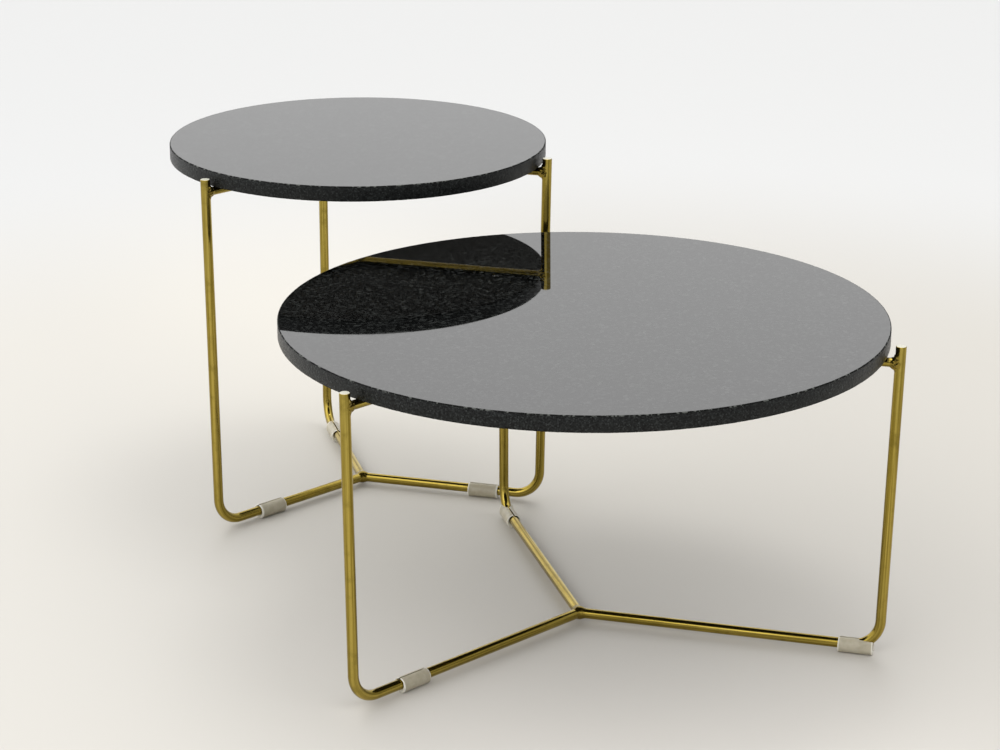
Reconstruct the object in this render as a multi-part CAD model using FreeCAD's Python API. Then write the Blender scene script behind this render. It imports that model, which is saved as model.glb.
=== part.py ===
import FreeCAD, Part
import math
import os
from collections import namedtuple
from FreeCAD import Vector

# A pair of round stone tables that tuck over one another. Each table is a frame of three bent rods
# that meet at a hub on the floor, with a three-armed spider near the top. A loose stone disc lies
# on the spider between the three rod tips.
#
# Millimetres, +Z up. The origin is on the floor, under the middle of the pair's bounding box.
# The legs of both tables stand at the same three azimuths: left, right and rear.

# ---- Driving dimensions ---------------------------------------------------------------------------

LEG_AZIMUTHS = {"left": 210.0, "right": 330.0, "rear": 90.0}

Table = namedtuple("Table", [
    "name",
    "top_diameter",
    "height",
    "tip_radius",
    "lean",
    "tip_drop",
    "centre_x",
    "centre_y",
    "glide_reach",
])

LARGE = Table(
    name="large",
    top_diameter=730.0,
    height=398.0,
    tip_radius=380.0,     # from the table's axis to the leg's axis, TIP_DATUM under the stone's face
    lean=1.16,            # degrees that each leg leans outward on its way up
    tip_drop={"left": 9.2, "right": 5.6, "rear": 8.0},      # stone's upper face down to the tip
    centre_x=0.0,
    centre_y=0.0,
    glide_reach={"left": 280.5, "right": 344.5, "rear": 338.0},   # hub to the middle of the glide
)

SMALL = Table(
    name="small",
    top_diameter=505.0,
    height=496.0,
    tip_radius=263.0,
    lean=0.81,
    tip_drop={"left": 9.1, "right": 8.0, "rear": 8.0},
    centre_x=-164.0,
    centre_y=530.0,
    glide_reach={"left": 167.5, "right": 177.0, "rear": 196.0},
)

ROD_DIAMETER = 12.7
ARM_DIAMETER = 11.0
BEND_RADIUS = 35.0            # centre line of the bend between the floor run and the leg
TIP_DATUM = 8.0               # the depth under the stone's upper face where tip_radius is measured
TIP_ROUNDING = 0.6

STONE_THICKNESS = 20.0
STONE_ARRIS = 1.0             # width of the small chamfer round both edges of a stone

PAD_DIAMETER = 10.0
PAD_HEIGHT = 2.2
PAD_CREST = 1.0               # pad left between the arm's crest and the stone
PAD_INSET = 60.0              # from the stone's rim in to the middle of the pad
STONE_CLEARANCE = 0.05        # the stone lies loose on its pads

GLIDE_LENGTH = 42.0
GLIDE_OUTER_RADIUS = 9.7
GLIDE_SOLE = 4.0              # from the rod down to the floor
GLIDE_SOLE_WIDTH = 8.0        # flat under the glide
GLIDE_SLIT_WIDTH = 2.0        # slit along the top, where the sleeve opens to snap over the rod
GLIDE_BORE_RADIUS = 6.9       # the bore is loose over the rod, and the rod lies in its bottom
GLIDE_CHEEK_WIDTH = 16.0      # across the cheeks, the lips that a bend has pushed apart
GLIDE_CLEARANCE = 0.05

MITRE_GAP = 0.8               # root gap between rods that meet at a hub, filled with weld
COPE_CLEARANCE = 0.05         # an arm's end is hollowed to fit round its leg
WELD_PROUD = 0.3              # a weld seam stands this far off the rods that it joins
HUB_FILLET_RADIUS = 8.0       # concave corner fillets between rods at a hub, seen from above
HUB_FILLET_HALF_HEIGHT = 4.0

# ---- Derived dimensions ---------------------------------------------------------------------------

ROD_RADIUS = ROD_DIAMETER / 2
ARM_RADIUS = ARM_DIAMETER / 2
FLOOR_RUN_Z = GLIDE_SOLE + ROD_RADIUS
ARM_BELOW_TOP = STONE_THICKNESS + PAD_CREST + ARM_RADIUS
GLIDE_CENTRE_Z = math.sqrt(GLIDE_OUTER_RADIUS**2 - (GLIDE_SOLE_WIDTH / 2)**2)
GLIDE_BORE_Z = GLIDE_SOLE + GLIDE_BORE_RADIUS - GLIDE_CLEARANCE

X_AXIS = Vector(1, 0, 0)
Y_AXIS = Vector(0, 1, 0)
Z_AXIS = Vector(0, 0, 1)
HALF_MITRE = 60.0             # three rods share a hub, so each keeps 60 degrees to either side


def pair_origin():
    """The middle of the pair's bounding box, measured from the large table's axis."""
    large_rim = LARGE.top_diameter / 2
    small_rim = SMALL.top_diameter / 2
    rear_tip = SMALL.tip_radius + ROD_RADIUS * math.cos(math.radians(SMALL.lean))
    low_x = SMALL.centre_x - small_rim
    high_x = LARGE.centre_x + large_rim
    low_y = LARGE.centre_y - large_rim
    high_y = SMALL.centre_y + rear_tip
    return Vector((low_x + high_x) / 2, (low_y + high_y) / 2, 0)


def leg_radius_at(table, z):
    """Distance from the table's axis to the leg's centre line at height z."""
    datum_z = table.height - TIP_DATUM
    return table.tip_radius - (datum_z - z) * math.tan(math.radians(table.lean))


# ---- Rods -----------------------------------------------------------------------------------------
# Every piece of a frame is made along +X from the table's axis, then turned to its leg's azimuth.

def leg_bend(table):
    """Where the floor run's centre line starts to bend, where it ends, and the angle it turns."""
    turn = 90.0 - table.lean
    corner_x = leg_radius_at(table, FLOOR_RUN_Z)
    start_x = corner_x - BEND_RADIUS * math.tan(math.radians(turn / 2))
    start = Vector(start_x, 0, FLOOR_RUN_Z)
    along = BEND_RADIUS * math.sin(math.radians(turn))
    up = BEND_RADIUS * (1 - math.cos(math.radians(turn)))
    return start, start + Vector(along, 0, up), turn


def swept_leg(table, radius, tip_drop=TIP_DATUM):
    """A round rod of the given radius along a leg's centre line: floor run, bend and upright."""
    bend_start, bend_end, turn = leg_bend(table)
    tip_z = table.height - tip_drop
    tip = Vector(leg_radius_at(table, tip_z), 0, tip_z)
    upright_line = tip - bend_end
    run = Part.makeCylinder(radius, bend_start.x, Vector(0, 0, FLOOR_RUN_Z), X_AXIS)
    section = Part.Face(Part.Wire(Part.Circle(bend_start, X_AXIS, radius).toShape()))
    bend = section.revolve(bend_start + Z_AXIS * BEND_RADIUS, -Y_AXIS, turn)
    upright = Part.makeCylinder(radius, upright_line.Length, bend_end, upright_line)
    return run.multiFuse([bend, upright]).removeSplitter().Solids[0]


def mitre_wedge(table):
    """The share of a hub that belongs to one rod, as a tall wedge that opens along +X."""
    apex_x = MITRE_GAP / 2 / math.sin(math.radians(HALF_MITRE))
    reach = 4 * table.tip_radius
    far_x = apex_x + reach * math.cos(math.radians(HALF_MITRE))
    far_y = reach * math.sin(math.radians(HALF_MITRE))
    apex = Vector(apex_x, 0, 0)
    outline = Part.makePolygon([apex, Vector(far_x, -far_y, 0), Vector(far_x, far_y, 0), apex])
    return Part.Face(outline).extrude(Z_AXIS * table.height)


def bent_leg(table, tip_drop):
    """One rod: mitred at the floor hub, bent up into the leg, with its tip's edge rounded."""
    rod = swept_leg(table, ROD_RADIUS, tip_drop).common(mitre_wedge(table)).Solids[0]
    tip_face = max(rod.Faces, key=lambda face: face.CenterOfMass.z)
    return rod.makeFillet(TIP_ROUNDING, tip_face.Edges)


def arm_height(table):
    return table.height - ARM_BELOW_TOP


def arm_cylinder(table, radius):
    """A level cylinder from the table's axis to the leg's centre line."""
    reach = leg_radius_at(table, arm_height(table))
    return Part.makeCylinder(radius, reach, Vector(0, 0, arm_height(table)), X_AXIS)


def arm(table):
    """One arm of the spider: mitred at the hub, with its outer end hollowed to fit the leg."""
    leg_clearance = swept_leg(table, ROD_RADIUS + COPE_CLEARANCE)
    bar = arm_cylinder(table, ARM_RADIUS).cut(leg_clearance)
    return bar.common(mitre_wedge(table)).Solids[0]


# ---- Welds ----------------------------------------------------------------------------------------

def arm_weld(table):
    """The hollow fillet round an arm where it meets its leg, tallest above and below."""
    leg_face_x = leg_radius_at(table, arm_height(table)) - ROD_RADIUS
    # distance in from the leg's face, growth above and below the arm, growth at its sides
    steps = [(-4.0, 4.6, 0.9), (0.0, 4.3, 0.9), (1.5, 2.5, 0.7), (3.5, 1.1, 0.4), (6.5, 0.15, 0.1)]
    rings = []
    for inward, tall, wide in steps:
        centre = Vector(leg_face_x - inward, 0, arm_height(table))
        top = centre + Z_AXIS * (ARM_RADIUS + tall)
        side = centre + Y_AXIS * (ARM_RADIUS + wide)
        rings.append(Part.Wire(Part.Ellipse(top, side, centre).toShape()))
    collar = Part.makeLoft(rings, True, False)
    collar = collar.cut(arm_cylinder(table, ARM_RADIUS + COPE_CLEARANCE))
    return collar.cut(swept_leg(table, ROD_RADIUS)).Solids[0]


def weld_seam(radius, z):
    """The weld that fills the gap between two mitred rods: a thin half oval that opens along +X."""
    reach = radius / math.sin(math.radians(HALF_MITRE)) + WELD_PROUD
    rise = radius + WELD_PROUD
    centre = Vector(0, -MITRE_GAP / 2, z)
    oval = Part.Ellipse(centre + X_AXIS * reach, centre + Z_AXIS * rise, centre)
    edge = Part.ArcOfEllipse(oval, -math.pi / 2, math.pi / 2).toShape()
    ends = [vertex.Point for vertex in edge.Vertexes]
    outline = Part.Wire([edge, Part.LineSegment(ends[1], ends[0]).toShape()])
    return Part.Face(outline).extrude(Y_AXIS * MITRE_GAP)


def corner_fillets(radius, z):
    """A flat three-pointed block whose hollow sides are the fillets in the corners between rods."""
    arc_centre = (radius + HUB_FILLET_RADIUS) / math.sin(math.radians(HALF_MITRE))
    along_rod = arc_centre * math.cos(math.radians(HALF_MITRE))
    base = z - HUB_FILLET_HALF_HEIGHT

    def beside_rod(azimuth, side):
        """Where a fillet meets one side (-1 or 1) of the rod at that azimuth."""
        direction = Vector(math.cos(azimuth), math.sin(azimuth), 0)
        across = Vector(-math.sin(azimuth), math.cos(azimuth), 0)
        return direction * along_rod + across * (side * radius) + Z_AXIS * base

    edges = []
    for corner in range(3):
        rod_before = math.radians(120.0 * corner)
        rod_after = math.radians(120.0 * (corner + 1))
        bisector = (rod_before + rod_after) / 2
        hollow = arc_centre - HUB_FILLET_RADIUS
        middle = Vector(hollow * math.cos(bisector), hollow * math.sin(bisector), base)
        start = beside_rod(rod_before, 1)
        end = beside_rod(rod_after, -1)
        edges.append(Part.Arc(start, middle, end).toShape())
        edges.append(Part.LineSegment(end, beside_rod(rod_after, 1)).toShape())
    return Part.Face(Part.Wire(edges)).extrude(Z_AXIS * 2 * HUB_FILLET_HALF_HEIGHT)


def hub_weld(table, radius, z):
    """All the weld at one hub: a seam between each two rods and a fillet in each corner."""
    weld = corner_fillets(radius, z)
    for seam in range(3):
        plate = weld_seam(radius, z)
        plate.rotate(Vector(0, 0, 0), Z_AXIS, HALF_MITRE + 120.0 * seam)
        weld = weld.fuse(plate)
    for rod in range(3):
        bar = Part.makeCylinder(radius, table.tip_radius / 2, Vector(0, 0, z), X_AXIS)
        bar = bar.common(mitre_wedge(table))
        bar.rotate(Vector(0, 0, 0), Z_AXIS, 120.0 * rod)
        weld = weld.cut(bar)
    return weld.removeSplitter().Solids[0]


# ---- Plastic pieces and stones --------------------------------------------------------------------

def glide(table, reach):
    """A slit plastic sleeve that snaps over the floor run and keeps it off the floor.

    Where the rod bends up out of it, its lips are pushed apart and stand up as two cheeks."""
    start = Vector(reach - GLIDE_LENGTH / 2, 0, 0)
    axis_start = start + Z_AXIS * GLIDE_CENTRE_Z
    width = 2 * GLIDE_OUTER_RADIUS
    sleeve = Part.makeCylinder(GLIDE_OUTER_RADIUS, GLIDE_LENGTH, axis_start, X_AXIS)
    above_floor = Part.makeBox(GLIDE_LENGTH, width, width, start - Y_AXIS * GLIDE_OUTER_RADIUS)
    bore = Part.makeCylinder(GLIDE_BORE_RADIUS, GLIDE_LENGTH, start + Z_AXIS * GLIDE_BORE_Z, X_AXIS)
    slit_corner = start + Vector(0, -GLIDE_SLIT_WIDTH / 2, GLIDE_BORE_Z)
    slit = Part.makeBox(GLIDE_LENGTH, GLIDE_SLIT_WIDTH, width, slit_corner)
    sleeve = sleeve.common(above_floor)
    bend_start = leg_bend(table)[0].x
    in_bend = start.x + GLIDE_LENGTH - bend_start
    if in_bend > 0:
        lip_rise = math.sqrt(GLIDE_OUTER_RADIUS**2 - (GLIDE_SLIT_WIDTH / 2)**2)
        cheek_corner = Vector(bend_start, -GLIDE_CHEEK_WIDTH / 2, GLIDE_CENTRE_Z)
        cheeks = Part.makeBox(in_bend, GLIDE_CHEEK_WIDTH, lip_rise, cheek_corner)
        mouth_width = 2 * (ROD_RADIUS + GLIDE_CLEARANCE)
        mouth_corner = Vector(bend_start, -mouth_width / 2, GLIDE_BORE_Z)
        mouth = Part.makeBox(in_bend, mouth_width, width, mouth_corner)
        sleeve = sleeve.fuse(cheeks).cut(mouth)
    return sleeve.cut(bore).cut(slit).removeSplitter().Solids[0]


def pad(table):
    """A clear bumper, moulded to sit astride an arm, that the stone lies on."""
    top_z = table.height - STONE_THICKNESS - STONE_CLEARANCE
    middle_x = table.top_diameter / 2 - PAD_INSET
    disc = Part.makeCylinder(PAD_DIAMETER / 2, PAD_HEIGHT, Vector(middle_x, 0, top_z - PAD_HEIGHT))
    return disc.cut(arm_cylinder(table, ARM_RADIUS)).Solids[0]


def stone_top(table):
    """The loose stone disc, with a narrow chamfer along both edges."""
    underside = Vector(0, 0, table.height - STONE_THICKNESS)
    disc = Part.makeCylinder(table.top_diameter / 2, STONE_THICKNESS, underside)
    rims = [edge for edge in disc.Edges if edge.Closed and isinstance(edge.Curve, Part.Circle)]
    return disc.makeChamfer(STONE_ARRIS, rims)


# ---- Assembly -------------------------------------------------------------------------------------

def table_pieces(table):
    """Every piece of one table, as node name and solid, in the table's own place."""
    pieces = {table.name + "_stone_top": stone_top(table)}
    for side, azimuth in LEG_AZIMUTHS.items():
        along_x = {
            "leg": bent_leg(table, table.tip_drop[side]),
            "arm": arm(table),
            "glide": glide(table, table.glide_reach[side]),
            "pad": pad(table),
            "arm_weld": arm_weld(table),
        }
        for kind, solid in along_x.items():
            solid.rotate(Vector(0, 0, 0), Z_AXIS, azimuth)
            pieces[f"{table.name}_{kind}_{side}"] = solid
    hubs = {
        "floor_hub_weld": hub_weld(table, ROD_RADIUS, FLOOR_RUN_Z),
        "arm_hub_weld": hub_weld(table, ARM_RADIUS, arm_height(table)),
    }
    for kind, solid in hubs.items():
        solid.rotate(Vector(0, 0, 0), Z_AXIS, LEG_AZIMUTHS["rear"])
        pieces[f"{table.name}_{kind}"] = solid
    return pieces


def main():
    os.makedirs("parts", exist_ok=True)
    for table in (LARGE, SMALL):
        place = Vector(table.centre_x, table.centre_y, 0) - pair_origin()
        for node, solid in table_pieces(table).items():
            solid.translate(place)
            solid.exportStep(f"parts/{node}.step")


main()
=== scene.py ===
import math

import bmesh
import bpy
import numpy as np
from mathutils import Matrix, Vector


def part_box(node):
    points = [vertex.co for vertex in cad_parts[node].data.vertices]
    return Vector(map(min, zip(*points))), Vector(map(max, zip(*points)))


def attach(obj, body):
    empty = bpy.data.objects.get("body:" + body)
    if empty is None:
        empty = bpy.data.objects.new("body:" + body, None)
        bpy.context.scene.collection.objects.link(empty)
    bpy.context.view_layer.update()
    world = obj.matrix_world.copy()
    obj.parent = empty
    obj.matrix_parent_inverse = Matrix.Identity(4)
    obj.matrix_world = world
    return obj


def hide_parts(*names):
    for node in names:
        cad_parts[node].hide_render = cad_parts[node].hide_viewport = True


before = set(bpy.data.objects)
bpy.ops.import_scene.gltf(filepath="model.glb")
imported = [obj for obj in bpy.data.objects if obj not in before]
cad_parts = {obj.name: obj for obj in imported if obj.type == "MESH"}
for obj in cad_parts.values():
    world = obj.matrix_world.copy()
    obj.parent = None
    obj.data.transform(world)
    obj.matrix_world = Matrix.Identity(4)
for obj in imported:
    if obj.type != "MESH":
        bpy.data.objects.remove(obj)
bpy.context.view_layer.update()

# A pair of round stone tables on frames of bent brass rod. Metres, in the CAD model's own frame.
# A table's pieces are shaped in "leg coordinates": the table's axis is at the origin, +X runs out
# along the leg's floor run, and +Z is up. Then they are turned to the leg's azimuth.

TABLES = ("large", "small")
SIDES = ("left", "right", "rear")
MM = 0.001

# ---- Places taken from the frame -------------------------------------------------------------------


def middle_of(node):
    low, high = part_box(node)
    return (low + high) / 2


def flat_length(vector):
    return math.hypot(vector.x, vector.y)


REAR_LEG_LOW, REAR_LEG_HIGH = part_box("large_leg_rear")       # this leg runs along Y
REAR_ARM_LOW, REAR_ARM_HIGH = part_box("large_arm_rear")
ROD_RADIUS = (REAR_LEG_HIGH.x - REAR_LEG_LOW.x) / 2
ARM_RADIUS = (REAR_ARM_HIGH.z - REAR_ARM_LOW.z) / 2
FLOOR_RUN_Z = REAR_LEG_LOW.z + ROD_RADIUS
BEND_RADIUS = 35 * MM
LEAN = {"large": math.radians(1.16), "small": math.radians(0.81)}     # outward, on the way up
MITRE_GAP = 0.8 * MM
HALF_MITRE = math.radians(60)


class Table:
    """Where one table's stone, arms and legs are."""

    def __init__(self, name):
        self.name = name
        low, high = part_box(name + "_stone_top")
        self.axis = Vector(((low.x + high.x) / 2, (low.y + high.y) / 2, 0))
        self.stone_radius = (high.x - low.x) / 2
        self.stone_under = low.z
        self.stone_top = high.z
        self.lean = LEAN[name]
        arm = middle_of(name + "_arm_rear")
        self.arm_z = arm.z
        rear_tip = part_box(name + "_leg_rear")[1]
        self.tip_z = rear_tip.z
        self.tip_reach = rear_tip.y - self.axis.y - ROD_RADIUS * math.cos(self.lean)

    def azimuth(self, side):
        out = middle_of(f"{self.name}_glide_{side}") - self.axis
        return math.atan2(out.y, out.x)

    def leg_reach(self, z):
        """Distance from the table's axis to a leg's centre line at height z."""
        return self.tip_reach - (self.tip_z - z) * math.tan(self.lean)

    def turn(self, side):
        return Matrix.Translation(self.axis) @ Matrix.Rotation(self.azimuth(side), 4, "Z")


PAIR = {name: Table(name) for name in TABLES}


# ---- Shader building -------------------------------------------------------------------------------

MIX_COLOUR_INPUTS = (0, 6, 7)      # a Mix node's factor, first colour and second colour
MIX_COLOUR_OUTPUT = 2


class Shader:
    """One material's node tree, built with short calls. Lengths in it are in metres."""

    def __init__(self, name):
        self.material = bpy.data.materials.new(name)
        self.material.use_nodes = True
        self.tree = self.material.node_tree
        self.tree.nodes.clear()
        output = self.add("OutputMaterial")
        self.surface = self.add("BsdfPrincipled")
        self.tree.links.new(self.surface.outputs["BSDF"], output.inputs["Surface"])
        self.place = self.add("TexCoord").outputs["Object"]

    def add(self, kind):
        return self.tree.nodes.new("ShaderNode" + kind)

    def feed(self, socket, value):
        """Links a socket to another node's output, or sets its value."""
        if isinstance(value, bpy.types.NodeSocket):
            self.tree.links.new(value, socket)
        elif isinstance(value, tuple) and len(value) == 3 and socket.type == "RGBA":
            socket.default_value = (*value, 1.0)
        else:
            socket.default_value = value

    def attribute(self, name):
        node = self.add("Attribute")
        node.attribute_name = name
        return node.outputs["Vector"]

    def stretched(self, scale, vector=None):
        node = self.add("Mapping")
        self.feed(node.inputs["Vector"], vector or self.place)
        node.inputs["Scale"].default_value = scale
        return node.outputs["Vector"]

    def noise(self, size, detail=2.0, roughness=0.5, vector=None, distortion=0.0):
        """Soft noise from 0 to 1, with features of about the given size."""
        node = self.add("TexNoise")
        self.feed(node.inputs["Vector"], vector or self.place)
        node.inputs["Scale"].default_value = 1.0 / size
        node.inputs["Detail"].default_value = detail
        node.inputs["Roughness"].default_value = roughness
        node.inputs["Distortion"].default_value = distortion
        return node.outputs["Fac"]

    def grains(self, size):
        """Cells of about the given size, with a random colour each."""
        node = self.add("TexVoronoi")
        self.feed(node.inputs["Vector"], self.place)
        node.inputs["Scale"].default_value = 1.0 / size
        return node.outputs["Color"]

    def spread(self, value, low, high, to_low=0.0, to_high=1.0):
        """Maps low..high to to_low..to_high with soft ends."""
        node = self.add("MapRange")
        node.interpolation_type = "SMOOTHSTEP"
        self.feed(node.inputs["Value"], value)
        node.inputs["From Min"].default_value = low
        node.inputs["From Max"].default_value = high
        node.inputs["To Min"].default_value = to_low
        node.inputs["To Max"].default_value = to_high
        return node.outputs["Result"]

    def calc(self, operation, a, b=0.0):
        node = self.add("Math")
        node.operation = operation
        self.feed(node.inputs[0], a)
        self.feed(node.inputs[1], b)
        return node.outputs["Value"]

    def mix(self, factor, a, b):
        """Blends two colours: a where the factor is 0, b where it is 1."""
        node = self.add("Mix")
        node.data_type = "RGBA"
        for socket, value in zip(MIX_COLOUR_INPUTS, (factor, a, b)):
            self.feed(node.inputs[socket], value)
        return node.outputs[MIX_COLOUR_OUTPUT]

    def bump(self, height, depth, base=None):
        """Turns a 0 to 1 height into a bump of the given depth."""
        node = self.add("Bump")
        node.inputs["Strength"].default_value = 1.0
        node.inputs["Distance"].default_value = depth
        self.feed(node.inputs["Height"], height)
        if base is not None:
            self.feed(node.inputs["Normal"], base)
        return node.outputs["Normal"]

    def set(self, name, value):
        self.feed(self.surface.inputs[name], value)


# ---- Stone -----------------------------------------------------------------------------------------

def polished_granite():
    """The upper face: nearly black, mirror polished, with a fine crystal grain and wiped smears."""
    shader = Shader("polished_granite")
    grain = shader.spread(shader.grains(3.4 * MM), 0.50, 0.92)
    cloud = shader.spread(shader.noise(45 * MM, detail=3.0), 0.35, 0.7, 0.0, 0.25)
    base = shader.mix(grain, (0.0005, 0.0006, 0.0006), (0.0185, 0.0200, 0.0192))
    base = shader.mix(cloud, base, (0.0052, 0.0056, 0.0055))
    fleck = shader.spread(shader.grains(4.5 * MM), 0.85, 0.92, 0.0, 0.5)
    base = shader.mix(fleck, base, (0.040, 0.043, 0.040))
    shader.set("Base Color", base)
    smear = shader.noise(110 * MM, detail=4.0, roughness=0.6, distortion=0.8)
    shader.set("Roughness", shader.spread(smear, 0.45, 0.8, 0.015, 0.045))
    shader.set("IOR", 1.70)
    return shader.material


def honed_granite():
    """The rim: dull charcoal with a fine, strong salt-and-pepper grain, and pitted."""
    shader = Shader("honed_granite")
    pepper = shader.spread(shader.noise(2.4 * MM, detail=5.0, roughness=0.7), 0.40, 0.62)
    salt = shader.spread(shader.grains(1.4 * MM), 0.60, 0.95)
    band = shader.noise(50 * MM, detail=2.0, vector=shader.stretched((1.0, 1.0, 0.4)))
    base = shader.mix(pepper, (0.0005, 0.0006, 0.0006), (0.0115, 0.0130, 0.0125))
    base = shader.mix(salt, base, (0.034, 0.038, 0.037))
    base = shader.mix(shader.spread(band, 0.45, 0.75, 0.0, 0.3), base, (0.0075, 0.0085, 0.0082))
    shader.set("Base Color", base)
    shader.set("IOR", 1.27)
    shader.set("Roughness", shader.spread(pepper, 0.0, 1.0, 0.29, 0.48))
    pits = shader.bump(shader.spread(shader.noise(2.2 * MM, detail=2.0), 0.50, 0.8), 0.4 * MM)
    shader.set("Normal", shader.bump(shader.noise(0.9 * MM, detail=3.0), 0.1 * MM, pits))
    return shader.material


def painted_shade_arris_granite():
    """The arris along both edges of the rim: raw and rough, with its near-black colour painted shade, and
    with pale nicks.
    """
    shader = Shader("painted_shade_arris_granite")
    nick = shader.spread(shader.noise(4.5 * MM, detail=3.0), 0.52, 0.62, 0.0, 0.9)
    # the near-black base is painted shade along the rim's edges; the pale nicks are the stone's own
    shader.set("Base Color", shader.mix(nick, (0.0020, 0.0022, 0.0020), (0.095, 0.100, 0.092)))
    shader.set("IOR", 1.22)
    shader.set("Roughness", 0.75)
    shader.set("Normal", shader.bump(shader.noise(1.6 * MM, detail=4.0), 0.4 * MM))
    return shader.material


def sawn_granite():
    """The underside: matt and speckled, with the straight fine marks of the saw."""
    shader = Shader("sawn_granite")
    speck = shader.spread(shader.grains(2.6 * MM), 0.35, 0.95)
    marks = shader.noise(1.1 * MM, detail=2.0, vector=shader.stretched((1.0, 0.015, 1.0)))
    shader.set("Base Color", shader.mix(speck, (0.0045, 0.0048, 0.0048), (0.027, 0.0285, 0.0277)))
    shader.set("Roughness", shader.spread(speck, 0.0, 1.0, 0.72, 0.86))
    shader.set("IOR", 1.3)
    shader.set("Normal", shader.bump(marks, 0.08 * MM))
    return shader.material


FACE, RIM, UNDERSIDE, ARRIS = range(4)         # the stone's material slots
STONE_SEED = {"large": 7, "small": 11}
STONE_ARRIS = 1.0 * MM
ARRIS_STEPS = 3
RIM_BANDS = (ARRIS_STEPS, ARRIS_STEPS + 1)     # the bands between the two arrises
ARRIS_WANDER = 0.5 * MM
WANDER_WAVES = (37, 83, 151, 263)              # waves in one turn round the rim
CHIP_STEP = 1.2 * MM                           # spacing of the points round the rim
CHIPS_PER_METRE = 60
CHIP_LENGTH = (2.0 * MM, 8.0 * MM)
CHIP_DEPTH = (0.2 * MM, 1.1 * MM)
CHIP_DEPTH_SHARE = (0.3, 1.0)
ANY_PHASE = (0, 6)                             # radians


def chipped_arris(points_round, step, rng):
    """How far the arris is broken back at each point round the rim: a wander, and small chips."""
    place = np.arange(points_round)
    broken = np.zeros(points_round)
    for waves in WANDER_WAVES:
        turn = 2 * math.pi * waves * place / points_round + rng.uniform(*ANY_PHASE)
        broken += ARRIS_WANDER * 0.5 * (1 + np.sin(turn))
    broken /= len(WANDER_WAVES)
    for _ in range(int(CHIPS_PER_METRE * points_round * step)):
        centre = rng.uniform(0, points_round)
        length = rng.uniform(*CHIP_LENGTH) / step / 2
        away = np.abs((place - centre + points_round / 2) % points_round - points_round / 2)
        depth = rng.uniform(*CHIP_DEPTH) * rng.uniform(*CHIP_DEPTH_SHARE)
        broken = np.maximum(broken, depth * np.clip(1 - (away / length) ** 2, 0, 1))
    return broken


def stone_rings(table, points_round, rng):
    """Rings of the disc's rim from the upper face to the underside, as (radius, height) arrays."""
    radius, top, under = table.stone_radius, table.stone_top, table.stone_under
    step = 2 * math.pi * radius / points_round
    upper = chipped_arris(points_round, step, rng)
    lower = chipped_arris(points_round, step, rng)

    def rounded(edge_z, inward, broken, number):
        """One ring of a rounded arris; number 0 lies on the stone's flat face."""
        turn = math.pi / 2 * number / ARRIS_STEPS
        inset = (STONE_ARRIS + broken) * (1 - math.sin(turn))
        away = (STONE_ARRIS + broken) * (1 - math.cos(turn))
        return radius - inset, edge_z + inward * away

    upper_rings = [rounded(top, -1, upper, number) for number in range(ARRIS_STEPS + 1)]
    middle_ring = (np.full(points_round, radius), np.full(points_round, (top + under) / 2))
    lower_rings = [rounded(under, 1, lower, number) for number in range(ARRIS_STEPS, -1, -1)]
    return [*upper_rings, middle_ring, *lower_rings]


def stone_disc(table):
    """The stone, as a closed mesh: polished face, honed rim with a chipped arris, sawn underside."""
    rng = np.random.default_rng(STONE_SEED[table.name])
    points_round = int(2 * math.pi * table.stone_radius / CHIP_STEP)
    angles = 2 * math.pi * np.arange(points_round) / points_round
    rings = stone_rings(table, points_round, rng)
    mesh = bmesh.new()
    loops = []
    for radii, heights in rings:
        points = zip(radii * np.cos(angles), radii * np.sin(angles), heights)
        loops.append([mesh.verts.new(point) for point in points])
    # the arris bands take the granite with painted shade, the middle bands the honed rim
    for band, faces in enumerate(join_loops(mesh, loops)):
        for face in faces:
            face.material_index = RIM if band in RIM_BANDS else ARRIS
    cap(mesh, loops[0], FACE)
    cap(mesh, loops[-1], UNDERSIDE)
    materials = [POLISHED, HONED, SAWN, PAINTED_SHADE_ARRIS]
    return finished_mesh(mesh, table.name + "_stone_disc", materials, Matrix.Translation(table.axis))


# ---- Mesh helpers ----------------------------------------------------------------------------------

def finished_mesh(mesh, name, materials, matrix):
    """Turns a bmesh in leg coordinates into an object in the frame's coordinates."""
    bmesh.ops.transform(mesh, matrix=matrix, verts=mesh.verts)
    bmesh.ops.recalc_face_normals(mesh, faces=mesh.faces)
    data = bpy.data.meshes.new(name)
    mesh.to_mesh(data)
    mesh.free()
    for material in materials:
        data.materials.append(material)
    piece = bpy.data.objects.new(name, data)
    bpy.context.collection.objects.link(piece)
    return piece


def stands_for(piece, node, body):
    """Lets a piece take a CAD node's place in the picture: hides the node and puts the piece on its body.
    """
    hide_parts(node)
    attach(piece, body)


def join_loops(mesh, loops):
    """Joins each closed loop of points to the next with smooth quads. Returns each band's faces."""
    count = len(loops[0])
    bands = []
    for first, second in zip(loops, loops[1:]):
        band = []
        for here in range(count):
            there = (here + 1) % count
            face = mesh.faces.new((first[here], first[there], second[there], second[here]))
            face.smooth = True
            band.append(face)
        bands.append(band)
    return bands


def cap(mesh, loop, material_index=0):
    """Closes a loop with one flat face and a sharp edge."""
    face = mesh.faces.new(loop)
    face.material_index = material_index
    for edge in face.edges:
        edge.smooth = False


# ---- Rods ------------------------------------------------------------------------------------------

ROD_PLACE = "rod_place"       # (across, across, along) on a rod's skin, in metres
ROD_SIDES = 56
BEND_STEPS = 28
TIP_ROUNDING = 0.6 * MM
TIP_STEPS = 4
COPE_CLEARANCE = 0.05 * MM


def darker(colour, share):
    return tuple(share * part for part in colour)


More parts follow.
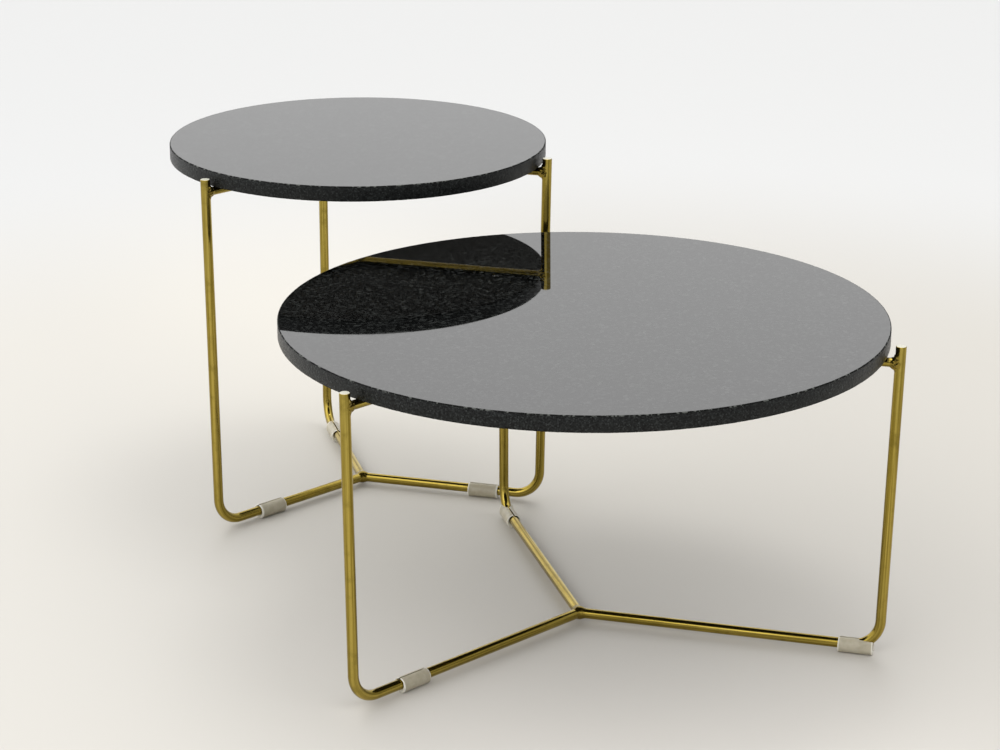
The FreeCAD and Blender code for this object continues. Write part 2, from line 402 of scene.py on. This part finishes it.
def plated_brass(name, light, dark, rough):
    """Thin brass plate on drawn rod: lengthwise draw marks, cloudy tarnish, tiny specks."""
    shader = Shader(name)
    rod = shader.attribute(ROD_PLACE)
    lengthwise = shader.stretched((1.0, 1.0, 0.012), rod)
    streaks = shader.noise(3 * MM, detail=5.0, roughness=0.6, vector=lengthwise)
    fine = shader.noise(0.35 * MM, detail=3.0, vector=shader.stretched((1.0, 1.0, 0.02), rod))
    cloud = shader.noise(20 * MM, detail=5.0, roughness=0.62)
    speck = shader.spread(shader.noise(1.3 * MM, detail=2.0), 0.70, 0.76, 0.0, 0.55)
    base = shader.mix(shader.spread(streaks, 0.36, 0.64), light, dark)
    base = shader.mix(shader.spread(cloud, 0.48, 0.80, 0.0, 0.6), base, darker(dark, 0.70))
    base = shader.mix(speck, base, darker(dark, 0.30))
    shader.set("Base Color", base)
    shader.set("Metallic", 1.0)
    worn = shader.calc("ADD", shader.calc("MULTIPLY", streaks, 0.5), shader.calc("MULTIPLY", cloud, 0.5))
    shader.set("Roughness", shader.spread(worn, 0.35, 0.65, *rough))
    drawn = shader.bump(fine, 0.012 * MM)
    shader.set("Normal", shader.bump(streaks, 0.03 * MM, drawn))
    return shader.material


def cut_end():
    """The saw-cut end of a rod: pale bare metal under a thin plate."""
    shader = Shader("cut_rod_end")
    rings = shader.noise(1.2 * MM, detail=3.0)
    shader.set("Base Color", shader.mix(rings, (0.48, 0.47, 0.385), (0.58, 0.57, 0.49)))
    shader.set("Metallic", 0.25)
    shader.set("Roughness", shader.spread(rings, 0.3, 0.7, 0.30, 0.45))
    shader.set("Normal", shader.bump(rings, 0.05 * MM))
    return shader.material


def around():
    """The angles of the points round a rod."""
    return [2 * math.pi * index / ROD_SIDES for index in range(ROD_SIDES)]


def rod_ring(centre, direction, radius):
    """A ring of points about a line in the XZ plane, from its left side round over its top."""
    side = Vector((0, 1, 0))
    over = side.cross(direction)
    return [centre + side * (radius * math.cos(a)) + over * (radius * math.sin(a)) for a in around()]


def rod_places(radius, along):
    """What ROD_PLACE says at the points of a ring, a distance along the rod."""
    return [(radius * math.cos(a), radius * math.sin(a), along) for a in around()]


def rod_skin(mesh, rings, places):
    """Joins a rod's rings of points, and notes each point's place on the rod."""
    layer = mesh.verts.layers.float_vector.new(ROD_PLACE)
    loops = []
    for ring, ring_places in zip(rings, places):
        loop = []
        for point, place in zip(ring, ring_places):
            vertex = mesh.verts.new(point)
            vertex[layer] = Vector(place)
            loop.append(vertex)
        loops.append(loop)
    join_loops(mesh, loops)
    return loops


MITRE_START = MITRE_GAP / 2 / math.sin(HALF_MITRE)       # a mitre's nearest point to the table's axis


def mitred(ring):
    """Moves a ring's points along X to the two planes of a three-way mitre."""
    return [Vector((MITRE_START + abs(point.y) / math.tan(HALF_MITRE), point.y, point.z)) for point in ring]


def leg_path(table, tip_z):
    """Centre line of a leg beyond the hub, as (point, direction) pairs: bend, then tip."""
    turn = math.pi / 2 - table.lean
    corner = table.leg_reach(FLOOR_RUN_Z)
    start = corner - BEND_RADIUS * math.tan(turn / 2)
    path = []
    for step in range(BEND_STEPS + 1):
        angle = turn * step / BEND_STEPS
        out = start + BEND_RADIUS * math.sin(angle)
        up = FLOOR_RUN_Z + BEND_RADIUS * (1 - math.cos(angle))
        path.append((Vector((out, 0, up)), Vector((math.cos(angle), 0, math.sin(angle)))))
    path.append((Vector((table.leg_reach(tip_z), 0, tip_z)), path[-1][1]))
    return path


def leg(table, side):
    """One rod: mitred at the floor hub, bent up into the leg, its tip's edge eased."""
    node = f"{table.name}_leg_{side}"
    lean_rise = ROD_RADIUS * math.sin(table.lean)      # the tip's face leans, so one edge is highest
    tip_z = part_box(node)[1].z - lean_rise
    path = leg_path(table, tip_z)
    start = rod_ring(Vector((0, 0, FLOOR_RUN_Z)), Vector((1, 0, 0)), ROD_RADIUS)
    rings = [mitred(start)]
    places = [rod_places(ROD_RADIUS, 0.0)]
    along = 0.0
    before = Vector((0, 0, FLOOR_RUN_Z))
    for centre, direction in path[:-1]:
        along += (centre - before).length
        before = centre
        rings.append(rod_ring(centre, direction, ROD_RADIUS))
        places.append(rod_places(ROD_RADIUS, along))
    tip, upward = path[-1]
    along += (tip - before).length
    for step in range(TIP_STEPS + 1):
        angle = math.pi / 2 * step / TIP_STEPS
        inset = TIP_ROUNDING * (1 - math.cos(angle))
        below = TIP_ROUNDING * (1 - math.sin(angle))
        rings.append(rod_ring(tip - upward * below, upward, ROD_RADIUS - inset))
        places.append(rod_places(ROD_RADIUS, along - below))
    mesh = bmesh.new()
    loops = rod_skin(mesh, rings, places)
    cap(mesh, loops[-1], material_index=1)
    apex = mesh.verts.new((MITRE_START, 0, FLOOR_RUN_Z))
    for here in range(ROD_SIDES):
        mesh.faces.new((apex, loops[0][here], loops[0][(here + 1) % ROD_SIDES]))
    piece = finished_mesh(mesh, node + "_rod", [BRASS, CUT_END], table.turn(side))
    stands_for(piece, node, table.name + "_frame")


def arm(table, side):
    """One arm of the spider: mitred at its hub, hollowed at its outer end to fit the leg."""
    node = f"{table.name}_arm_{side}"
    ring = rod_ring(Vector((0, 0, table.arm_z)), Vector((1, 0, 0)), ARM_RADIUS)
    cope = ROD_RADIUS + COPE_CLEARANCE
    outer = []
    for point in ring:
        hollow = math.sqrt(cope**2 - point.y**2)
        outer.append(Vector((table.leg_reach(point.z) - hollow, point.y, point.z)))
    mesh = bmesh.new()
    places = [rod_places(ARM_RADIUS, 0.0), rod_places(ARM_RADIUS, table.leg_reach(table.arm_z))]
    loops = rod_skin(mesh, [mitred(ring), outer], places)
    cap(mesh, loops[0])
    cap(mesh, loops[1])
    piece = finished_mesh(mesh, node + "_rod", [BRASS], table.turn(side))
    stands_for(piece, node, table.name + "_frame")


# ---- Welds -----------------------------------------------------------------------------------------
# A weld is the skin of its rods blended smoothly where they meet, seen from a point inside the joint.
# Away from the joint that skin lies just under the rods' own, so only the fillet shows.

UNDER_ROD = 0.07 * MM         # how far the weld's skin lies under the rods away from the joint
WELD_SUBDIVISIONS = 6
WELD_EDGE = 0.4 * MM          # how thick the fillet is where its lumps reach full height
WELD_RIPPLES = 9
RIPPLE_LENGTH = (3.0 * MM, 8.0 * MM)
SCAN_STEPS = 60               # steps outward to find a weld's skin, then halvings to place it
SCAN_HALVINGS = 14
HUB_BLEND = 5.0 * MM
HUB_REACH = 17.0 * MM
ARM_BLEND = 7.0 * MM
ARM_REACH = 16.0 * MM         # stays below the lowest tip, 17.3 mm above its arm
HUB_LUMPS = 0.10 * MM
ARM_LUMPS = 0.50 * MM
ARM_START = 1.25 * ROD_RADIUS      # where the arm's rod begins, from the leg's centre line
FLOOR_HUB_SEED = 31
ARM_HUB_SEED = 32
ARM_WELD_SEED = {"left": 20, "right": 21, "rear": 22}


def to_rod(points, origin, direction, radius, through=False):
    """Distance from points to the skin of a rod, which starts at origin or runs through it."""
    offset = points - origin
    along = offset @ direction
    if not through:
        along = np.clip(along, 0, None)
    return np.linalg.norm(offset - along[:, None] * direction, axis=1) - radius


def blended(first, second, blend):
    """The smaller of two distances, rounded off where they are nearly equal."""
    overlap = np.clip(blend - np.abs(first - second), 0, None) / blend
    return np.minimum(first, second) - overlap**2 * blend / 4


def ripples(points, rng):
    """A gentle lumpy field from about -1 to 1 over points in metres."""
    total = np.zeros(len(points))
    for _ in range(WELD_RIPPLES):
        direction = rng.normal(size=3)
        wave = 2 * math.pi / rng.uniform(*RIPPLE_LENGTH)
        total += np.sin(points @ (direction / np.linalg.norm(direction)) * wave + rng.uniform(*ANY_PHASE))
    return total / WELD_RIPPLES * 2


def weld_skin(mesh, rods, blend, reach, lumps, rng):
    """Moves an icosphere's points out from the joint's middle to the blended skin of its rods."""
    mesh.verts.ensure_lookup_table()
    directions = np.array([vertex.co.normalized() for vertex in mesh.verts])
    waves = rng.bit_generator.state

    def outside(distance_out):
        points = directions * distance_out[:, None]
        distances = [to_rod(points, *rod) for rod in rods]
        plain = np.minimum.reduce(distances)
        skin_distance = distances[0]
        for other in distances[1:]:
            skin_distance = blended(skin_distance, other, blend)
        built_up = np.clip((plain - skin_distance) / WELD_EDGE, 0, 1)
        rng.bit_generator.state = waves
        return skin_distance + UNDER_ROD * (1 - built_up) - lumps * built_up * ripples(points, rng)

    near = np.zeros(len(directions))
    far = np.full(len(directions), reach)
    found = np.zeros(len(directions), bool)
    for step in np.linspace(0, reach, SCAN_STEPS)[1:]:
        at = np.full(len(directions), step)
        out = (outside(at) > 0) & ~found
        far[out] = step
        found |= out
        near[~found] = step
    for _ in range(SCAN_HALVINGS):
        half = (near + far) / 2
        out = outside(half) > 0
        far = np.where(out & found, half, far)
        near = np.where(out | ~found, near, half)
    distance_out = np.where(found, far, reach)
    for vertex, direction, distance in zip(mesh.verts, directions, distance_out):
        vertex.co = Vector(direction * distance)


def weld_piece(table, node, matrix, rods, blend, reach, lumps, seed):
    """The bead of one joint, shaped round the origin; the matrix puts it in its place."""
    mesh = bmesh.new()
    bmesh.ops.create_icosphere(mesh, subdivisions=WELD_SUBDIVISIONS, radius=1.0)
    weld_skin(mesh, rods, blend, reach, lumps, np.random.default_rng(seed))
    for face in mesh.faces:
        face.smooth = True
    piece = finished_mesh(mesh, node + "_bead", [WELD], matrix)
    stands_for(piece, node, table.name + "_frame")


def hub_weld(table, node, radius, z, seed):
    """The weld where three rods meet on the table's axis, at height z."""
    rods = []
    for side in SIDES:
        azimuth = table.azimuth(side)
        rods.append((np.zeros(3), np.array((math.cos(azimuth), math.sin(azimuth), 0.0)), radius))
    matrix = Matrix.Translation(table.axis + Vector((0, 0, z)))
    weld_piece(table, node, matrix, rods, HUB_BLEND, HUB_REACH, HUB_LUMPS, seed)


def arm_weld(table, side):
    """The weld where an arm meets its leg, built up thickly above and below the arm."""
    upward = np.array((math.sin(table.lean), 0.0, math.cos(table.lean)))
    inward = np.array((-1.0, 0.0, 0.0))
    leg_rod = (np.zeros(3), upward, ROD_RADIUS, True)
    arm_rod = (inward * ARM_START, inward, ARM_RADIUS)
    centre = Vector((table.leg_reach(table.arm_z), 0, table.arm_z))
    matrix = table.turn(side) @ Matrix.Translation(centre)
    seed = ARM_WELD_SEED[side]
    node = f"{table.name}_arm_weld_{side}"
    weld_piece(table, node, matrix, [leg_rod, arm_rod], ARM_BLEND, ARM_REACH, ARM_LUMPS, seed)


# ---- Glides and pads -------------------------------------------------------------------------------

GLIDE_OUTER_RADIUS = 9.7 * MM
GLIDE_BORE_RADIUS = 6.9 * MM
GLIDE_END_ROUNDING = 0.9 * MM
GLIDE_END_STEPS = 4
GLIDE_SLIT = 2.0 * MM
GLIDE_LENGTH = 42 * MM
GLIDE_POINTS = 40
GLIDE_LIP_STEP = 1.2 * MM     # spacing of the sections along a glide
GLIDE_CUT = "glide_cut"       # 1 close to a glide's cut ends, 0 elsewhere
GLIDE_CUT_WIDTH = 1.35 * MM
GLIDE_SHARP_EDGE = math.radians(40)
LIP_CLEARANCE = 0.2 * MM      # between a glide's lips and the rod that spreads them


def cloudy_plastic():
    """Natural polyethylene: milky and a little yellow, partly its own tint and partly painted light of the
    brass rod inside; paler at its cut ends, faintly scuffed.
    """
    shader = Shader("cloudy_plastic")
    cloud = shader.noise(10 * MM, detail=4.0)
    # the body's yellow is partly the plastic's own tint and partly painted light of the brass rod showing
    # through
    body = shader.mix(shader.spread(cloud, 0.3, 0.7), (0.375, 0.338, 0.248), (0.46, 0.422, 0.322))
    cut = shader.add("SeparateXYZ")
    shader.feed(cut.inputs["Vector"], shader.attribute(GLIDE_CUT))
    shader.set("Base Color", shader.mix(cut.outputs["X"], body, (0.72, 0.70, 0.62)))
    shader.set("Roughness", shader.spread(cloud, 0.3, 0.8, 0.32, 0.46))
    shader.set("Subsurface Weight", 0.2)
    shader.set("Subsurface Radius", (0.9, 0.8, 0.6))
    shader.set("Subsurface Scale", 0.002)
    shader.set("Normal", shader.bump(shader.noise(1.6 * MM, detail=3.0), 0.06 * MM))
    return shader.material


def pushed_out(y, z, middle_z, radius, spread):
    """Moves the upper half of a round section outward: most at its lips, not at all at its sides."""
    if z <= middle_z:
        return y
    lip = GLIDE_SLIT / 2
    share = 1 - (abs(y) - lip) / (radius - lip)
    return y + math.copysign(spread * share, y)


def glide_section(centre_z, bore_z, spread, shrink):
    """Points round a C-shaped section, outer skin then inner, from one lip of the slit to the other."""
    outer, inner = [], []
    for index in range(GLIDE_POINTS + 1):
        share = index / GLIDE_POINTS
        for points, middle_z, whole, radius in (
            (outer, centre_z, GLIDE_OUTER_RADIUS, GLIDE_OUTER_RADIUS - shrink),
            (inner, bore_z, GLIDE_BORE_RADIUS, GLIDE_BORE_RADIUS + shrink / 2),
        ):
            half = math.asin(GLIDE_SLIT / 2 / whole)
            angle = half + (2 * math.pi - 2 * half) * share
            y, z = radius * math.sin(angle), middle_z + radius * math.cos(angle)
            points.append((pushed_out(y, z, middle_z, radius, spread), max(z, shrink)))
    return outer + inner[::-1]


def lip_spread(beyond_bend, lip_z):
    """How far the rod pushes each lip of a glide aside as it bends up between them."""
    rise = BEND_RADIUS - math.sqrt(BEND_RADIUS**2 - max(beyond_bend, 0) ** 2)
    below = max(lip_z - FLOOR_RUN_Z - rise, 0)
    half = math.sqrt(max(ROD_RADIUS**2 - below**2, 0))
    return max(half + LIP_CLEARANCE - GLIDE_SLIT / 2, 0)


def glide_stations(start, end):
    """Places of the sections along a glide, each with how far its skin is eased in there."""
    eased = []
    for step in range(GLIDE_END_STEPS + 1):
        turn = math.pi / 2 * step / GLIDE_END_STEPS
        inward = GLIDE_END_ROUNDING * (1 - math.cos(turn))
        shrink = GLIDE_END_ROUNDING * (1 - math.sin(turn))
        eased.append((inward, shrink))
    stations = [(start + inward, shrink) for inward, shrink in eased]
    inside = start + 2 * GLIDE_END_ROUNDING
    while inside < end - 2 * GLIDE_END_ROUNDING:
        stations.append((inside, 0.0))
        inside += GLIDE_LIP_STEP
    stations += [(end - inward, shrink) for inward, shrink in reversed(eased)]
    return stations


def glide(table, side):
    """A slit sleeve with eased ends. Where the rod bends up out of it, it pushes the lips aside."""
    node = f"{table.name}_glide_{side}"
    reach = flat_length(middle_of(node) - table.axis)
    lip_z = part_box(node)[1].z
    centre_z = lip_z - math.sqrt(GLIDE_OUTER_RADIUS**2 - (GLIDE_SLIT / 2) ** 2)
    bore_z = FLOOR_RUN_Z - ROD_RADIUS + GLIDE_BORE_RADIUS
    bend_start = leg_path(table, table.tip_z)[0][0].x
    start, end = reach - GLIDE_LENGTH / 2, reach + GLIDE_LENGTH / 2
    mesh = bmesh.new()
    cut = mesh.verts.layers.float_vector.new(GLIDE_CUT)
    loops = []
    for x, shrink in glide_stations(start, end):
        near_end = min(x - start, end - x) < GLIDE_CUT_WIDTH
        loop = []
        for y, z in glide_section(centre_z, bore_z, lip_spread(x - bend_start, lip_z), shrink):
            vertex = mesh.verts.new((x, y, z))
            vertex[cut] = Vector((float(near_end), 0, 0))
            loop.append(vertex)
        loops.append(loop)
    join_loops(mesh, loops)
    for loop in (loops[0], loops[-1]):
        facing = loop[::-1]
        for here in range(GLIDE_POINTS):
            mesh.faces.new((loop[here], loop[here + 1], facing[here + 1], facing[here]))
    piece = finished_mesh(mesh, node + "_sleeve", [PLASTIC], table.turn(side))
    piece.data.set_sharp_from_angle(angle=GLIDE_SHARP_EDGE)
    stands_for(piece, node, table.name + "_frame")


def clear_rubber():
    """The bumpers' soft rubber: clear, a little cloudy."""
    shader = Shader("clear_rubber")
    cloud = shader.noise(3.0 * MM)
    shader.set("Base Color", shader.mix(cloud, (0.75, 0.77, 0.77), (0.88, 0.89, 0.89)))
    shader.set("Roughness", 0.25)
    shader.set("Transmission Weight", 0.7)
    return shader.material


PAD_SIDES = 40
# A pad's outline from its foot up, as (share of its radius, share of its height).
PAD_OUTLINE = ((0.55, 0.0), (0.88, 0.04), (1.0, 0.30), (0.98, 0.62), (0.86, 0.90), (0.66, 1.0))


def pad(table, side):
    """A clear domed bumper pressed flat between an arm and the stone."""
    node = f"{table.name}_pad_{side}"
    low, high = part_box(node)
    reach = flat_length(middle_of(node) - table.axis)
    rear_low, rear_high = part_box(table.name + "_pad_rear")
    radius = (rear_high.x - rear_low.x) / 2
    mesh = bmesh.new()
    loops = []
    for wide, tall in PAD_OUTLINE:
        loop = []
        for index in range(PAD_SIDES):
            angle = 2 * math.pi * index / PAD_SIDES
            point = (
                reach + radius * wide * math.cos(angle),
                radius * wide * math.sin(angle),
                low.z + (high.z - low.z) * tall,
            )
            loop.append(mesh.verts.new(point))
        loops.append(loop)
    join_loops(mesh, loops)
    mesh.faces.new(loops[0])
    mesh.faces.new(loops[-1])
    piece = finished_mesh(mesh, node + "_bumper", [RUBBER], table.turn(side))
    stands_for(piece, node, table.name + "_frame")


# ---- The object ------------------------------------------------------------------------------------

POLISHED = polished_granite()
HONED = honed_granite()
SAWN = sawn_granite()
PAINTED_SHADE_ARRIS = painted_shade_arris_granite()
BRASS = plated_brass(
    "plated_brass", light=(0.462, 0.350, 0.076), dark=(0.225, 0.162, 0.024), rough=(0.09, 0.20)
)
WELD = plated_brass(
    "plated_weld", light=(0.36, 0.265, 0.052), dark=(0.17, 0.118, 0.018), rough=(0.14, 0.28)
)
CUT_END = cut_end()
PLASTIC = cloudy_plastic()
RUBBER = clear_rubber()

for table in PAIR.values():
    stands_for(stone_disc(table), table.name + "_stone_top", table.name + "_top")
    for side in SIDES:
        leg(table, side)
        arm(table, side)
        arm_weld(table, side)
        glide(table, side)
        pad(table, side)
    hub_weld(table, table.name + "_floor_hub_weld", ROD_RADIUS, FLOOR_RUN_Z, FLOOR_HUB_SEED)
    hub_weld(table, table.name + "_arm_hub_weld", ARM_RADIUS, table.arm_z, ARM_HUB_SEED)


# ---- Stage, light and camera -----------------------------------------------------------------------

FLOOR_DROP = 0.2 * MM      # keeps the floor just under the glides' soles
FLOOR_RADIUS = 14.0
FLOOR_SIDES = 96

CAMERA_FROM_LARGE_AXIS = Vector((-0.8799, -3.0018, 1.3737))
CAMERA_HEADING = math.radians(14.516)    # clockwise from +Y
CAMERA_PITCH = math.radians(18.615)      # down
CAMERA_ROLL = math.radians(0.264)
CAMERA_LENS = 98.67


def pale_floor():
    """Warm pale grey, with painted light that makes it lightest in front of the tables and painted shade
    that makes it darkest to their right and darker to their left; neutral far away.
    """
    shader = Shader("pale_floor")
    parts = shader.add("SeparateXYZ")
    shader.feed(parts.inputs["Vector"], shader.place)
    x, y = parts.outputs["X"], parts.outputs["Y"]
    distance = shader.add("VectorMath")
    distance.operation = "LENGTH"
    shader.feed(distance.inputs[0], shader.place)
    shade = shader.noise(0.9, detail=3.0)
    colour = shader.mix(shade, (0.555, 0.531, 0.480), (0.590, 0.565, 0.514))
    # painted light: the floor is made lighter in front of the tables
    painted_light_front = shader.spread(shader.calc("MULTIPLY", y, -1.0), -0.2, 0.55)
    colour = shader.mix(painted_light_front, colour, (0.645, 0.618, 0.574))
    # painted shade: the floor is made darker to the right of the tables
    right = shader.spread(x, 0.0, 0.6, 0.0, 0.8)
    colour = shader.mix(right, colour, (0.450, 0.430, 0.392))
    # painted shade: the floor is made a little darker to the left of the tables
    left = shader.spread(shader.calc("MULTIPLY", x, -1.0), 0.1, 0.5)
    colour = shader.mix(left, colour, (0.535, 0.515, 0.475))
    far = shader.spread(distance.outputs["Value"], 1.1, 2.2)
    shader.set("Base Color", shader.mix(far, colour, (0.545, 0.545, 0.540)))
    shader.set("Roughness", 0.55)
    return shader.material


def floor():
    mesh = bmesh.new()
    bmesh.ops.create_circle(mesh, cap_ends=True, segments=FLOOR_SIDES, radius=FLOOR_RADIUS)
    plane = finished_mesh(mesh, "floor", [pale_floor()], Matrix.Translation((0, 0, -FLOOR_DROP)))


# Sine of the elevation, and the light's strength there: all round, and on the camera's side.
ROOM_LIGHT = ((0.0, 0.90), (0.32, 1.22), (0.60, 1.45), (1.0, 1.70))
CAMERA_SIDE_LIGHT = ((0.0, 0.34), (0.30, 0.85), (0.60, 2.00), (1.0, 1.70))
CAMERA_SIDE = (-0.3, 0.9)      # cosine of the angle from the camera's side where that light sets in
# From the camera's left (0) to its right (1), a multiple of the light's strength near the horizon.
SIDE_LIGHT = (
    (0.0, 1.45), (0.20, 1.45), (0.36, 0.97), (0.46, 1.0), (0.62, 1.0), (0.80, 0.50), (1.0, 0.45),
)
LOW_DOWN = (-1.0, -0.55)       # minus the elevation's sine, where that multiple sets in


def light_ramp(nodes, stops):
    """A ramp of light strengths, from (place, strength) pairs."""
    ramp = nodes.new("ShaderNodeValToRGB")
    elements = ramp.color_ramp.elements
    while len(elements) < len(stops):
        elements.new(0.5)
    for element, (place, strength) in zip(elements, stops):
        element.position = place
        element.color = (strength, strength, strength, 1)
    return ramp


def world_light():
    """Soft light from all round: brightest overhead, dimmest low on the camera's side and right."""
    world = bpy.data.worlds.new("studio")
    bpy.context.scene.world = world
    world.use_nodes = True
    nodes, links = world.node_tree.nodes, world.node_tree.links
    nodes.clear()
    output = nodes.new("ShaderNodeOutputWorld")
    light = nodes.new("ShaderNodeBackground")
    place = nodes.new("ShaderNodeTexCoord")
    split = nodes.new("ShaderNodeSeparateXYZ")
    links.new(place.outputs["Generated"], split.inputs["Vector"])
    room = light_ramp(nodes, ROOM_LIGHT)
    camera_side = light_ramp(nodes, CAMERA_SIDE_LIGHT)
    for ramp in (room, camera_side):
        links.new(split.outputs["Z"], ramp.inputs["Fac"])

    def along(direction, low, high, kind="SMOOTHSTEP"):
        """0 to 1 as the cosine of the light's angle to a direction goes from low to high."""
        dot = nodes.new("ShaderNodeVectorMath")
        dot.operation = "DOT_PRODUCT"
        links.new(place.outputs["Generated"], dot.inputs[0])
        dot.inputs[1].default_value = direction
        share = nodes.new("ShaderNodeMapRange")
        share.interpolation_type = kind
        links.new(dot.outputs["Value"], share.inputs["Value"])
        share.inputs["From Min"].default_value = low
        share.inputs["From Max"].default_value = high
        return share.outputs["Result"]

    def mixed(blend, factor, first, second):
        node = nodes.new("ShaderNodeMix")
        node.data_type = "RGBA"
        node.blend_type = blend
        for socket, source in zip(MIX_COLOUR_INPUTS, (factor, first, second)):
            links.new(source, node.inputs[socket])
        return node.outputs[MIX_COLOUR_OUTPUT]

    backwards = (-math.sin(CAMERA_HEADING), -math.cos(CAMERA_HEADING), 0)
    towards_camera = along(backwards, *CAMERA_SIDE)
    both = mixed("MIX", towards_camera, room.outputs["Color"], camera_side.outputs["Color"])
    side = light_ramp(nodes, SIDE_LIGHT)
    camera_right = (math.cos(CAMERA_HEADING), -math.sin(CAMERA_HEADING), 0)
    links.new(along(camera_right, -1, 1, kind="LINEAR"), side.inputs["Fac"])
    near_horizon = along((0, 0, -1), *LOW_DOWN)
    shaded = mixed("MULTIPLY", near_horizon, both, side.outputs["Color"])
    links.new(shaded, light.inputs["Color"])
    links.new(light.outputs["Background"], output.inputs["Surface"])


def soft_light(name, place, aim, size, power):
    """A round area lamp. Its size is in metres and its power in watts."""
    data = bpy.data.lights.new(name, "AREA")
    data.shape = "DISK"
    data.size = size
    data.energy = power
    lamp = bpy.data.objects.new(name, data)
    lamp.location = place
    lamp.rotation_euler = (Vector(aim) - Vector(place)).to_track_quat("-Z", "Y").to_euler()
    bpy.context.collection.objects.link(lamp)


def camera():
    """Looks down over the large table at the small one, rolled very slightly."""
    data = bpy.data.cameras.new("camera")
    data.sensor_width = 36.0
    data.lens = CAMERA_LENS
    lens = bpy.data.objects.new("camera", data)
    bpy.context.collection.objects.link(lens)
    forward = Vector((
        math.sin(CAMERA_HEADING) * math.cos(CAMERA_PITCH),
        math.cos(CAMERA_HEADING) * math.cos(CAMERA_PITCH),
        -math.sin(CAMERA_PITCH),
    ))
    right = Vector((math.cos(CAMERA_HEADING), -math.sin(CAMERA_HEADING), 0))
    up = right.cross(forward)
    rolled_right = right * math.cos(CAMERA_ROLL) + up * math.sin(CAMERA_ROLL)
    rolled_up = up * math.cos(CAMERA_ROLL) - right * math.sin(CAMERA_ROLL)
    turn = Matrix((rolled_right, rolled_up, -forward)).transposed().to_4x4()
    lens.matrix_world = Matrix.Translation(PAIR["large"].axis + CAMERA_FROM_LARGE_AXIS) @ turn
    bpy.context.scene.camera = lens


bpy.context.scene.view_settings.view_transform = "Standard"
floor()
world_light()
soft_light("overhead", place=(0.3, 0.3, 3.0), aim=(0, 0, 0), size=1.2, power=14)
camera()
